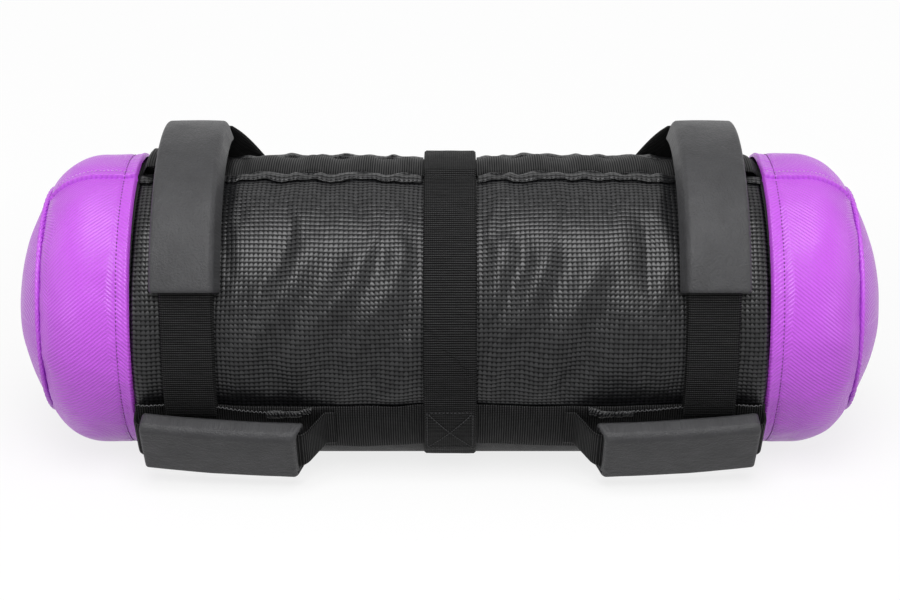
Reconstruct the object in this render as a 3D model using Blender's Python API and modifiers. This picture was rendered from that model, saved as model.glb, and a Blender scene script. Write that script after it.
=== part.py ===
"""Sandbag trainer: a filled cylindrical bag with webbing straps and six padded handles.

Metres, +Z up. The bag lies along X, its photographed side faces -Y, and it rests on
the floor at Z = 0. Angles round the bag are degrees from -Y, rising towards +Z.
"""

import math

import bmesh
import bpy
from mathutils import Vector

# The filled bag
BAG_RADIUS = 0.110
BODY_LENGTH = 0.452
SAG = 0.003
SHELL_WALL = 0.0025

# The two coloured ends: a straight band, a round shoulder down to the rim, and a domed disc.
# They are a little slimmer than the body, and the weight in the body lifts them off the floor.
CAP_INSET = 0.0021
CAP_LIFT = 0.0055
CAP_WALL = 0.003
BAND_STRAIGHT = 0.029
SHOULDER_RUN = 0.040
SHOULDER_DROP = 0.0257
DISC_RISE = 0.0252
PIPING_RADIUS = 0.0019
PIPING_DEPTH = 0.0017

# The filling
FOAM_WALL = 0.010
FOAM_END_GAP = 0.002
SACK_ROUNDING = 0.010
SACK_TO_SHOULDER = 0.007
CENTRE_SACK_LENGTH = 0.145
TAPE_LENGTH = 0.028
TAPE_THICKNESS = 0.0015

# Webbing that lies on the bag
WEB_THICKNESS = 0.002
WEB_WIDTH = 0.038
LONG_STRAP_WIDTH = 0.050
TOP_STRAP_ANGLE = 90.0
LOWER_STRAP_ANGLE = -36.0
CENTRE_STRAP_START = -60.0
SIDE_STRAP_TO_SEAM = 0.041
STEP_ANGLE = 5.0
CLIMB_START = 0.7

# Padded grips
GRIP_WIDTH = 0.0495
GRIP_THICKNESS = 0.015
GRIP_EDGE = 0.004
CORE_OUT = 0.0025

# Arched handles over the side straps
ARCH_START = 21.5
ARCH_END = 100.0
ARCH_FOOT_ANGLE = 7.0
ARCH_START_RISE = 0.0075
ARCH_RISE = 0.0175
ARCH_LEAN = 0.032

# Straight handles over the lower straps
LOW_ANGLE = -33.5
LOW_WEB_WIDTH = 0.040
LOW_GRIP_LENGTH = 0.113
LOW_GRIP_TO_SEAM = 0.007
LOW_OUTER_RISE = 0.0109
LOW_INNER_RISE = 0.0199
LOW_BOW = 0.0015
LOW_RISER_RUN = 0.0095
LOW_FOOT_LENGTH = 0.014

# Fits and smoothness
GAP = 0.0003
PAD_GAP = 0.0008
ROUND_STEPS = 40
SECTION_STEP = 5.0
CUT_OVERRUN = 0.004

AXIS_Z = BAG_RADIUS - SAG
CAP_AXIS_Z = AXIS_Z + CAP_LIFT
CAP_RADIUS = BAG_RADIUS - CAP_INSET
BODY_END = BODY_LENGTH / 2
CAP_START = BODY_END + GAP
SHOULDER_X = BODY_END + BAND_STRAIGHT
SHOULDER_RADIUS = (SHOULDER_RUN**2 + SHOULDER_DROP**2) / (2 * SHOULDER_DROP)
SHOULDER_TURN = math.atan2(SHOULDER_RUN, SHOULDER_RADIUS - SHOULDER_DROP)
RIM_RADIUS = CAP_RADIUS - SHOULDER_DROP
DISC_RADIUS = (RIM_RADIUS**2 + DISC_RISE**2) / (2 * DISC_RISE)
DISC_TURN = math.asin(RIM_RADIUS / DISC_RADIUS)
BAG_END = SHOULDER_X + SHOULDER_RUN + DISC_RISE
SIDE_SACK_END = SHOULDER_X - SACK_TO_SHOULDER
FOAM_END = BODY_END - TAPE_LENGTH / 2 - FOAM_END_GAP
SIDE_STRAP_X = BODY_END - SIDE_STRAP_TO_SEAM
LOW_GRIP_OUTER_X = BODY_END - LOW_GRIP_TO_SEAM
ON_BAG = BAG_RADIUS + GAP + WEB_THICKNESS / 2
ON_STRAP = ON_BAG + WEB_THICKNESS + GAP
LONG_STRAP_HALF_ANGLE = math.degrees(LONG_STRAP_WIDTH / 2 / ON_BAG)

SIDES = {"left": -1, "right": 1}

PURPLE = ((0.42, 0.13, 0.72, 1.0), 0.55)
BLACK_WEAVE = ((0.022, 0.023, 0.026, 1.0), 0.5)
WEBBING = ((0.018, 0.018, 0.020, 1.0), 0.7)
CHARCOAL = ((0.075, 0.075, 0.080, 1.0), 0.6)
FOAM = ((0.75, 0.74, 0.70, 1.0), 0.9)
CANVAS = ((0.30, 0.27, 0.22, 1.0), 0.9)


def clear_scene():
    for thing in list(bpy.data.objects):
        bpy.data.objects.remove(thing, do_unlink=True)


def new_collection(name):
    collection = bpy.data.collections.new(name)
    bpy.context.scene.collection.children.link(collection)
    return collection


clear_scene()
PARTS = new_collection("sandbag_trainer")
CUTTERS = new_collection("cutters")


def finish(part, look, collection=PARTS):
    """Give a part its own material and put it in one collection."""
    colour, roughness = look
    material = bpy.data.materials.new(part.name)
    material.use_nodes = True
    shader = material.node_tree.nodes["Principled BSDF"]
    shader.inputs["Base Color"].default_value = colour
    shader.inputs["Roughness"].default_value = roughness
    shader.inputs["Metallic"].default_value = 0.0
    part.data.materials.clear()
    part.data.materials.append(material)
    for holder in list(part.users_collection):
        holder.objects.unlink(part)
    collection.objects.link(part)
    return part


def around(angle, radius, x=0.0):
    """A point at an angle round the bag's axis."""
    turn = math.radians(angle)
    return Vector((x, -radius * math.cos(turn), AXIS_Z + radius * math.sin(turn)))


def along_ring(angle):
    """The direction in which the angle grows round the bag."""
    turn = math.radians(angle)
    return Vector((0.0, math.sin(turn), math.cos(turn)))


def outward(angle):
    """The direction straight out of the bag."""
    turn = math.radians(angle)
    return Vector((0.0, -math.cos(turn), math.sin(turn)))


def steps_between(start, end, step):
    """Evenly spaced values from start to end, no further apart than step."""
    count = max(1, math.ceil(abs(end - start) / step))
    return [start + (end - start) * index / count for index in range(count + 1)]


def ribbon(name, path, half_side, thickness, look, collection=PARTS):
    """A band of webbing: an open strip along a path, as wide as two half sides, made solid."""
    segments = len(path) - 1
    mesh = bpy.data.meshes.new(name)
    bm = bmesh.new()
    bmesh.ops.create_grid(bm, x_segments=segments, y_segments=1, size=1.0)
    for vertex in bm.verts:
        index = round((vertex.co.x + 1.0) / 2.0 * segments)
        side = 1.0 if vertex.co.y > 0.0 else -1.0
        vertex.co = path[index] + half_side * side
    bm.to_mesh(mesh)
    bm.free()
    part = bpy.data.objects.new(name, mesh)
    solid = part.modifiers.new("thickness", "SOLIDIFY")
    solid.thickness = thickness
    solid.offset = 0.0
    solid.use_even_offset = True
    return finish(part, look, collection)


def bag_section(inset):
    """The bag's round section with its flattened bottom, moved inwards by an inset."""
    radius = BAG_RADIUS - inset
    drop = AXIS_Z - inset
    corner = math.degrees(math.asin(drop / radius))
    angles = steps_between(-corner, 180.0 + corner, SECTION_STEP)
    return [(around(angle, radius).y, around(angle, radius).z) for angle in angles]


def section_curve(name, outline, x_start, x_end, fill):
    """An outline in the YZ plane, drawn out along X."""
    curve = bpy.data.curves.new(name, "CURVE")
    curve.dimensions = "2D"
    curve.fill_mode = fill
    curve.extrude = (x_end - x_start) / 2
    spline = curve.splines.new("POLY")
    spline.points.add(len(outline) - 1)
    for point, (y, z) in zip(spline.points, outline):
        point.co = (y, z, 0.0, 1.0)
    spline.use_cyclic_u = True
    part = bpy.data.objects.new(name, curve)
    part.location = ((x_start + x_end) / 2, 0.0, 0.0)
    part.rotation_euler = (math.radians(90.0), 0.0, math.radians(90.0))
    return part


def bag_tube(name, outer_inset, wall, half_length, look):
    """An open-ended sleeve that follows the bag's section."""
    outline = bag_section(outer_inset + wall / 2)
    part = section_curve(name, outline, -half_length, half_length, "NONE")
    solid = part.modifiers.new("wall", "SOLIDIFY")
    solid.thickness = wall
    solid.offset = 0.0
    solid.use_even_offset = True
    return finish(part, look)


def bag_filling(name, inset, x_start, x_end, look):
    """A full sack whose section follows the bag's, with rounded ends."""
    part = section_curve(name, bag_section(inset), x_start, x_end, "BOTH")
    weld = part.modifiers.new("weld", "WELD")
    weld.merge_threshold = 0.00005
    bevel = part.modifiers.new("rounding", "BEVEL")
    bevel.width = SACK_ROUNDING
    bevel.segments = 1
    bevel.limit_method = "ANGLE"
    bevel.angle_limit = math.radians(40.0)
    return finish(part, look)


def shoulder_point(turn, depth):
    """A point of a shoulder's profile as (radius, distance along X), at a depth below its surface."""
    reach = SHOULDER_RADIUS - depth
    across = CAP_RADIUS - SHOULDER_RADIUS + reach * math.cos(turn)
    return (across, SHOULDER_X + reach * math.sin(turn))


def disc_point(turn, depth):
    """A point of a disc's profile as (radius, distance along X), at a depth below its surface."""
    reach = DISC_RADIUS - depth
    return (reach * math.sin(turn), BAG_END - DISC_RADIUS + reach * math.cos(turn))


GROOVE_HALF = PIPING_RADIUS + GAP
SHOULDER_STEP = math.radians(11.0)
DISC_STEP = math.radians(7.0)
PAD_STEP = math.radians(14.0)


def turned(name, profile, side, look, closed, axis_z=CAP_AXIS_Z):
    """A profile of (radius, distance along X) turned about an axis along the bag."""
    mesh = bpy.data.meshes.new(name)
    count = len(profile)
    edges = [(index, index + 1) for index in range(count - 1)]
    if closed:
        edges.append((count - 1, 0))
    mesh.from_pydata([(radius, 0.0, along) for radius, along in profile], edges, [])
    part = bpy.data.objects.new(name, mesh)
    part.location = (0.0, 0.0, axis_z)
    part.rotation_euler = (0.0, math.radians(90.0) * SIDES[side], 0.0)
    screw = part.modifiers.new("turn", "SCREW")
    screw.steps = ROUND_STEPS
    screw.render_steps = ROUND_STEPS
    screw.use_merge_vertices = True
    screw.merge_threshold = 0.00002
    screw.use_smooth_shade = True
    return finish(part, look)


def cap_band(side):
    """The straight coloured band and its rounded shoulder, up to the piping's groove."""
    lip = SHOULDER_TURN - GROOVE_HALF / SHOULDER_RADIUS
    edge = SHOULDER_TURN - GAP / 2 / SHOULDER_RADIUS
    profile = [shoulder_point(turn, 0.0) for turn in steps_between(lip, 0.0, SHOULDER_STEP)]
    profile.append((CAP_RADIUS, CAP_START))
    profile.append((CAP_RADIUS - CAP_WALL, CAP_START))
    inner_turns = steps_between(0.0, edge, SHOULDER_STEP)
    profile.extend(shoulder_point(turn, CAP_WALL) for turn in inner_turns)
    profile.append(shoulder_point(edge, PIPING_DEPTH))
    profile.append(shoulder_point(lip, PIPING_DEPTH))
    return turned(f"cap_band_{side}", profile, side, PURPLE, True)


def end_disc(side):
    """The domed disc that closes one end of the bag."""
    lip = DISC_TURN - GROOVE_HALF / DISC_RADIUS
    edge = DISC_TURN - GAP / 2 / DISC_RADIUS
    profile = [disc_point(turn, 0.0) for turn in steps_between(0.0, lip, DISC_STEP)]
    profile.append(disc_point(lip, PIPING_DEPTH))
    profile.append(disc_point(edge, PIPING_DEPTH))
    profile.extend(disc_point(turn, CAP_WALL) for turn in steps_between(edge, 0.0, DISC_STEP))
    return turned(f"end_disc_{side}", profile, side, PURPLE, False)


def rim_piping(side):
    """The corded welt in the groove between band and disc."""
    proud = PIPING_RADIUS + GAP - PIPING_DEPTH
    shoulder = Vector(shoulder_point(SHOULDER_TURN, -proud))
    disc = Vector(disc_point(DISC_TURN, -proud))
    radius, along = (shoulder + disc) / 2
    bpy.ops.mesh.primitive_torus_add(
        major_radius=radius,
        minor_radius=PIPING_RADIUS,
        major_segments=ROUND_STEPS,
        minor_segments=8,
        location=(along * SIDES[side], 0.0, CAP_AXIS_Z),
        rotation=(0.0, math.radians(90.0), 0.0),
    )
    part = bpy.context.object
    part.name = f"rim_piping_{side}"
    part.data.shade_smooth()
    return finish(part, PURPLE)


def seam_tape(side):
    """The binding tape inside the seam, under the body's top and over the band's bottom."""
    top = AXIS_Z + BAG_RADIUS - SHELL_WALL - GAP
    bottom = CAP_AXIS_Z - CAP_RADIUS + CAP_WALL + GAP
    radius = (top - bottom) / 2
    start = BODY_END - TAPE_LENGTH / 2
    end = BODY_END + TAPE_LENGTH / 2
    profile = [
        (radius, end),
        (radius, start),
        (radius - TAPE_THICKNESS, start),
        (radius - TAPE_THICKNESS, end),
    ]
    middle = (top + bottom) / 2
    return turned(f"seam_tape_{side}", profile, side, WEBBING, True, middle)


def end_pad(side):
    """The foam plug that fills the dome behind a disc."""
    depth = CAP_WALL + PAD_GAP
    start = SIDE_SACK_END + GAP
    profile = [disc_point(turn, depth) for turn in steps_between(0.0, DISC_TURN, PAD_STEP)]
    shoulder_turns = steps_between(SHOULDER_TURN, 0.0, PAD_STEP)
    profile.extend(shoulder_point(turn, depth) for turn in shoulder_turns)
    profile.append((CAP_RADIUS - depth, start))
    profile.append((0.0, start))
    return turned(f"end_pad_{side}", profile, side, FOAM, False)


def build_shell():
    bag_tube("body_shell", 0.0, SHELL_WALL, BODY_END, BLACK_WEAVE)
    for side in SIDES:
        cap_band(side)
        end_disc(side)
        rim_piping(side)
        seam_tape(side)


def build_filling():
    foam_inset = SHELL_WALL + GAP
    sack_inset = foam_inset + FOAM_WALL + GAP
    centre_end = CENTRE_SACK_LENGTH / 2
    side_start = centre_end + GAP
    bag_tube("foam_sleeve", foam_inset, FOAM_WALL, FOAM_END, FOAM)
    bag_filling("sand_sack_centre", sack_inset, -centre_end, centre_end, CANVAS)
    bag_filling("sand_sack_left", sack_inset, -SIDE_SACK_END, -side_start, CANVAS)
    bag_filling("sand_sack_right", sack_inset, side_start, SIDE_SACK_END, CANVAS)
    for side in SIDES:
        end_pad(side)


def long_strap(name, angle):
    """A wide strap sewn along the body, seam to seam."""
    angles = steps_between(
        angle - LONG_STRAP_HALF_ANGLE, angle + LONG_STRAP_HALF_ANGLE, STEP_ANGLE
    )
    path = [around(value, ON_BAG) for value in angles]
    half_side = Vector((BODY_END - GAP, 0.0, 0.0))
    return ribbon(name, path, half_side, WEB_THICKNESS, WEBBING)


def ring_radius(angle, crossings):
    """How far out a ring strap's middle lies, as it climbs over the long straps it crosses."""
    height = 0.0
    for centre in crossings:
        past = abs(angle - centre) - LONG_STRAP_HALF_ANGLE
        height = max(height, 1.0 - min(max(past / STEP_ANGLE - CLIMB_START, 0.0), 1.0))
    return ON_BAG + (ON_STRAP - ON_BAG) * height


def ring_strap(name, x, start, crossings):
    """A strap round the front, top and back of the body, from a start angle to its mirror."""
    angles = steps_between(start, 180.0 - start, STEP_ANGLE)
    path = [around(angle, ring_radius(angle, crossings), x) for angle in angles]
    half_side = Vector((WEB_WIDTH / 2, 0.0, 0.0))
    return ribbon(name, path, half_side, WEB_THICKNESS, WEBBING)


def build_straps():
    rear_lower_angle = 180.0 - LOWER_STRAP_ANGLE
    long_strap("top_strap", TOP_STRAP_ANGLE)
    long_strap("front_lower_strap", LOWER_STRAP_ANGLE)
    long_strap("rear_lower_strap", rear_lower_angle)
    every_strap = (TOP_STRAP_ANGLE, LOWER_STRAP_ANGLE, rear_lower_angle)
    ring_strap("centre_strap", 0.0, CENTRE_STRAP_START, every_strap)
    side_start = LOWER_STRAP_ANGLE + LONG_STRAP_HALF_ANGLE + math.degrees(GAP / ON_BAG)
    for side, sign in SIDES.items():
        ring_strap(f"side_strap_{side}", sign * SIDE_STRAP_X, side_start, (TOP_STRAP_ANGLE,))


def padded_grip(name, path, across, web_width):
    """A padded sleeve along a path, with a slot through it for the webbing."""
    grip = ribbon(name, path, across * (GRIP_WIDTH / 2), GRIP_THICKNESS, CHARCOAL)
    bevel = grip.modifiers.new("rounded edges", "BEVEL")
    bevel.width = GRIP_EDGE
    bevel.segments = 2
    bevel.limit_method = "ANGLE"
    bevel.angle_limit = math.radians(40.0)
    before = path[0] + (path[0] - path[1]).normalized() * CUT_OVERRUN
    after = path[-1] + (path[-1] - path[-2]).normalized() * CUT_OVERRUN
    slot_path = [before] + path + [after]
    slot_half = across * (web_width / 2 + GAP)
    slot = ribbon(f"{name}_slot", slot_path, slot_half, WEB_THICKNESS + 2 * GAP, CHARCOAL, CUTTERS)
    slot.hide_render = True
    slot.display_type = "WIRE"
    cut = grip.modifiers.new("webbing slot", "BOOLEAN")
    cut.operation = "DIFFERENCE"
    cut.solver = "EXACT"
    cut.object = slot
    return grip


def mouth(end, before):
    """Where the webbing comes straight out of a grip: the core's end, a leg's start and its bend."""
    direction = (end - before).normalized()
    core_end = end + direction * CORE_OUT
    leg_start = core_end + direction * GAP
    leg_bend = leg_start + direction * WEB_THICKNESS
    return core_end, leg_start, leg_bend


def arch_radius(angle):
    """How far out an arched grip's middle lies: it rises quickly, then levels off over the top."""
    share = (angle - ARCH_START) / (ARCH_END - ARCH_START)
    rise = ARCH_START_RISE + (ARCH_RISE - ARCH_START_RISE) * math.sin(math.pi / 2 * share)
    return ON_STRAP + rise


def touch_angle(point, turn_sign):
    """Where a taut strap from a raised point first touches the bag, going one way round."""
    height = point.z - AXIS_Z
    angle = math.degrees(math.atan2(height, -point.y))
    span = math.degrees(math.acos(ON_STRAP / math.hypot(height, point.y)))
    return angle + turn_sign * span


def arched_handle(side):
    """A handle that arches over the front and top of the bag."""
    sign = SIDES[side]
    name = f"{side}_handle"
    x = sign * SIDE_STRAP_X
    across = Vector((1.0, 0.0, 0.0))
    angles = steps_between(ARCH_START, ARCH_END, STEP_ANGLE)
    path = [around(angle, arch_radius(angle), x) for angle in angles]
    padded_grip(f"{name}_grip", path, across, WEB_WIDTH)

    core_front, leg_front, bend_front = mouth(path[0], path[1])
    core_rear, leg_rear, bend_rear = mouth(path[-1], path[-2])
    web_half = across * (WEB_WIDTH / 2)
    core_path = [core_front] + path + [core_rear]
    ribbon(f"{name}_core", core_path, web_half, WEB_THICKNESS, WEBBING)

    front_touch = touch_angle(bend_front, -1.0)
    front_angles = steps_between(front_touch, front_touch - ARCH_FOOT_ANGLE, STEP_ANGLE)
    front_path = [leg_front, bend_front]
    front_path.extend(around(angle, ON_STRAP, x) for angle in front_angles)
    ribbon(f"{name}_front_leg", front_path, web_half, WEB_THICKNESS, WEBBING)
    rear_x = x - sign * ARCH_LEAN
    rear_touch = touch_angle(bend_rear, 1.0)
    rear_angles = steps_between(rear_touch, rear_touch + ARCH_FOOT_ANGLE, STEP_ANGLE)
    rear_path = [leg_rear, bend_rear]
    rear_path.extend(around(angle, ON_STRAP, rear_x) for angle in rear_angles)
    ribbon(f"{name}_rear_leg", rear_path, web_half, WEB_THICKNESS, WEBBING)


def low_handle(face, side):
    """A straight handle over a lower strap, on the front or the rear of the bag."""
    sign = SIDES[side]
    name = f"{face}_{side}_handle"
    angle = LOW_ANGLE if face == "front" else 180.0 - LOW_ANGLE
    across = along_ring(angle)
    out = outward(angle)
    base = around(angle, ON_STRAP)

    def place(x, rise):
        return base + out * rise + Vector((sign * x, 0.0, 0.0))

    inner_x = LOW_GRIP_OUTER_X - LOW_GRIP_LENGTH
    path = []
    for share in steps_between(0.0, 1.0, 0.25):
        rise = LOW_OUTER_RISE + (LOW_INNER_RISE - LOW_OUTER_RISE) * share
        bow = LOW_BOW * 4.0 * share * (1.0 - share)
        path.append(place(LOW_GRIP_OUTER_X - LOW_GRIP_LENGTH * share, rise + bow))
    padded_grip(f"{name}_grip", path, across, LOW_WEB_WIDTH)

    outer_x = BODY_END - GAP - WEB_THICKNESS / 2
    outer_foot = place(outer_x, GAP - WEB_THICKNESS / 2)
    inner_low = place(inner_x - LOW_RISER_RUN, LOW_INNER_RISE * 0.15)
    inner_foot = place(inner_x - LOW_RISER_RUN - WEB_THICKNESS, 0.0)
    inner_end = place(inner_x - LOW_RISER_RUN - LOW_FOOT_LENGTH, 0.0)
    core_outer, leg_outer, bend_outer = mouth(path[0], path[1])
    core_inner, leg_inner, bend_inner = mouth(path[-1], path[-2])
    web_half = across * (LOW_WEB_WIDTH / 2)
    core_path = [core_outer] + path + [core_inner]
    ribbon(f"{name}_core", core_path, web_half, WEB_THICKNESS, WEBBING)
    outer_path = [leg_outer, bend_outer, outer_foot]
    ribbon(f"{name}_outer_leg", outer_path, web_half, WEB_THICKNESS, WEBBING)
    inner_path = [leg_inner, bend_inner, inner_low, inner_foot, inner_end]
    ribbon(f"{name}_inner_leg", inner_path, web_half, WEB_THICKNESS, WEBBING)


def build_handles():
    for side in SIDES:
        arched_handle(side)
        for face in ("front", "rear"):
            low_handle(face, side)


build_shell()
build_filling()
build_straps()
build_handles()
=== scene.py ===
"""The looks of the sandbag trainer: fabric, webbing, padded grips and stitching round the frame."""

import math

import bmesh
import bpy
import numpy as np
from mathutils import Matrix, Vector


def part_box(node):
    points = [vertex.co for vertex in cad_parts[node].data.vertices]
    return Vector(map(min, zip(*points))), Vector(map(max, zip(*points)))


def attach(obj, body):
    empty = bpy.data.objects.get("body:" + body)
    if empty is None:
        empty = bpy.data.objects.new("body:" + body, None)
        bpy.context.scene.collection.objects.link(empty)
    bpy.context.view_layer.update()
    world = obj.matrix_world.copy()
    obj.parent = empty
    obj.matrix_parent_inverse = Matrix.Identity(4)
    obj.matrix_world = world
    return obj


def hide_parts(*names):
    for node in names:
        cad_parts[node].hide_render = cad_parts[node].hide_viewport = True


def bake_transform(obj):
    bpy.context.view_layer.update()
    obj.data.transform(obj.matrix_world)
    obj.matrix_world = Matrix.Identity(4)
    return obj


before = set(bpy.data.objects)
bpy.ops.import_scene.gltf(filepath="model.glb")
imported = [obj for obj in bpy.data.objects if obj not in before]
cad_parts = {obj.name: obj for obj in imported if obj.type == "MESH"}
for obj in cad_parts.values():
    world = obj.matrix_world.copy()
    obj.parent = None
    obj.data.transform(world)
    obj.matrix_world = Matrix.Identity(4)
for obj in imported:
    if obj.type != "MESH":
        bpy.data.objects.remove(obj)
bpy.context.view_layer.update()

MM = 0.001

# Sizes read from the frame
CAP_LOW, CAP_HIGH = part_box("cap_band_right")
RING_LOW, RING_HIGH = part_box("side_strap_right")
ARCH_LOW, ARCH_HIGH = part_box("right_handle_grip")
SEAM_X, _, BODY_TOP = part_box("body_shell")[1]
BAG_END_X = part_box("end_disc_right")[1].x
SIDE_X = (RING_LOW.x + RING_HIGH.x) / 2
WEB_WIDTH = RING_HIGH.x - RING_LOW.x
GRIP_WIDTH = ARCH_HIGH.x - ARCH_LOW.x
LOW_INNER_X, LOW_OUTER_X = (corner.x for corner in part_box("front_right_handle_grip"))

# Sizes repeated from the part or worked out from the frame, in metres and degrees
RADIUS = 110 * MM
AXIS_Z = BODY_TOP - RADIUS
CAP_RADIUS = (CAP_HIGH.z - CAP_LOW.z) / 2
CAP_AXIS_Z = (CAP_HIGH.z + CAP_LOW.z) / 2
BAND_STRAIGHT = 29 * MM
SHOULDER_RUN = 40 * MM
SHOULDER_DROP = 25.7 * MM
SHOULDER_RADIUS = (SHOULDER_RUN**2 + SHOULDER_DROP**2) / (2 * SHOULDER_DROP)
SHOULDER_TURN = math.atan2(SHOULDER_RUN, SHOULDER_RADIUS - SHOULDER_DROP)
BAND_LENGTH = BAND_STRAIGHT + SHOULDER_RADIUS * SHOULDER_TURN
RIM_RADIUS = CAP_RADIUS - SHOULDER_DROP
DISC_RISE = BAG_END_X - (SEAM_X + BAND_STRAIGHT + SHOULDER_RUN)
DISC_RADIUS = (RIM_RADIUS**2 + DISC_RISE**2) / (2 * DISC_RISE)
DISC_TURN = math.asin(RIM_RADIUS / DISC_RADIUS)
DISC_LENGTH = DISC_RADIUS * DISC_TURN
WEB = 2 * MM
TOP_ANGLE = 90.0
LOWER_ANGLE = -36.0
CENTRE_START = -60.0
LONG_HALF = 25 * MM
LONG_STRAP_RADIUS = 111.3 * MM
LONG_HALF_ANGLE = math.degrees(LONG_HALF / LONG_STRAP_RADIUS)
GRIP_THICK = 15 * MM
ARCH_START = 21.5
ARCH_END = 100.0
ARCH_START_RISE = 7.5 * MM
ARCH_RISE = 17.5 * MM
ARCH_LEAN = 32 * MM
LEG_END_ANGLE = -26.2
ON_STRAP = 113.6 * MM
LOW_ANGLE = -33.5
LOW_WEB = 40 * MM
LOW_OUTER_RISE = 10.9 * MM
LOW_INNER_RISE = 19.9 * MM
LOW_BOW = 1.5 * MM

# Sewing, in metres and degrees
OVER_STRAP = 2.6 * MM
LAP_ANGLE = 71.5
LAP_STITCH_RISE = 8 * MM
SEAM_STITCH_RUN = 9.5 * MM
WELT_RADIUS = 1.9 * MM
THREAD_SIDES = 6
# A stitch's profile from end to end: place along it, and share of its radius
THREAD_PROFILE = [(-1.0, 0.25), (-0.7, 0.8), (0.0, 1.0), (0.7, 0.8), (1.0, 0.25)]

# The photograph's camera
CAMERA_DISTANCE = 1.617
CAMERA_ELEVATION = 17.5
CAMERA_LENS = 85.8
AIM_ABOVE_AXIS = 3.7 * MM

# Light and floor
KEY_ELEVATION = 53.0
KEY_DISTANCE = 2.2
KEY_SIZE = (1.2, 1.9)
KEY_POWER = 50.0
FILL_PLACE = (2.2, -0.9, 0.9)
FILL_SIZE = (1.2, 1.2)
FILL_POWER = 11.0
WORLD_STRENGTH = 0.22
FLOOR_HALF = 6.0
FLOOR_DROP = 0.4 * MM
FLOOR_COLOUR = 0.95
FLOOR_BOUNCE = 0.56
FLOOR_GLOW_NEAR = 0.80
FLOOR_GLOW_FAR = 0.97

SIDES = {"left": -1.0, "right": 1.0}
ALONG_X = np.array([1.0, 0.0, 0.0])


# Shapes round the bag. Small bare numbers in the reliefs are in mm

def out_of(angle):
    """Directions straight out of the bag at angles in degrees, as rows of (x, y, z)."""
    turn = np.radians(angle)
    return np.stack([np.zeros_like(turn), -np.cos(turn), np.sin(turn)], -1)


def on_face(face, angle):
    """An angle at the front, or its mirror at the rear."""
    return angle if face == "front" else 180.0 - angle


def arc_mm(angle):
    """The way round the body to an angle, in mm, counted alike at the front and the rear."""
    return np.radians(np.where(angle > 90.0, 180.0 - angle, angle)) * RADIUS / MM


def past_rings(x_mm):
    """Distance in mm from the nearest of the three straps round the body, below 0 under one."""
    x_mm = np.abs(x_mm)
    return np.minimum(x_mm, np.abs(x_mm - SIDE_X / MM)) - WEB_WIDTH / MM / 2


def hump(distance, width):
    return np.exp(-((distance / width) ** 2))


def smooth(value):
    value = np.clip(value, 0.0, 1.0)
    return value * value * (3.0 - 2.0 * value)


def ripple(x, y, seed):
    """Soft noise from a few sines, the same on every run."""
    total = np.zeros(np.broadcast(x, y).shape)
    for index, (frequency, weight) in enumerate(((1.0, 1.0), (2.1, 0.5), (4.3, 0.25))):
        for turn in range(3):
            phase = seed * 1.7 + index * 2.9 + turn * 4.1
            angle = seed * 0.9 + turn * 2.1 + index * 1.3
            along = x * math.cos(angle) + y * math.sin(angle)
            total = total + weight / 3.0 * np.sin(frequency * along + phase)
    return total


# Each fold runs from one point to another: (x, angle) in mm and degrees, then width and height in mm
FOLDS = [
    (-112, 44, -146, 10, 11.5, -1.8),
    (-96, 42, -138, 2, 10.35, 2.0),
    (-74, 36, -136, -10, 12.65, -2.8),
    (-60, 36, -118, -8, 10.35, 2.8),
    (-44, 32, -100, -16, 12.65, -2.8),
    (-33, 38, -78, -6, 10.35, 2.4),
    (-19, 27, -66, -20, 12.65, -2.6),
    (-16, 6, -44, -22, 10.35, 2.2),
    (42, 42, 20, 8, 10.35, 2.2),
    (57, 40, 21, -8, 12.65, -2.8),
    (72, 38, 22, -14, 10.35, 2.8),
    (87, 36, 38, -17, 12.65, -2.6),
    (104, 34, 58, -16, 11.5, 2.4),
    (118, 30, 80, -20, 11.5, -1.9),
    (146, 38, 120, 2, 11.5, -1.6),
    (134, 20, 104, -16, 11.5, 1.7),
]
# Where the cloth is gathered under the top strap's edge, and the waves' length above it, in mm
GATHERS = [-150, -133, -112, -94, -73, -55, -38, -24, 25, 44, 60, 79, 98, 118, 137, 153]
WAVE_LENGTH = 34.0


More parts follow.
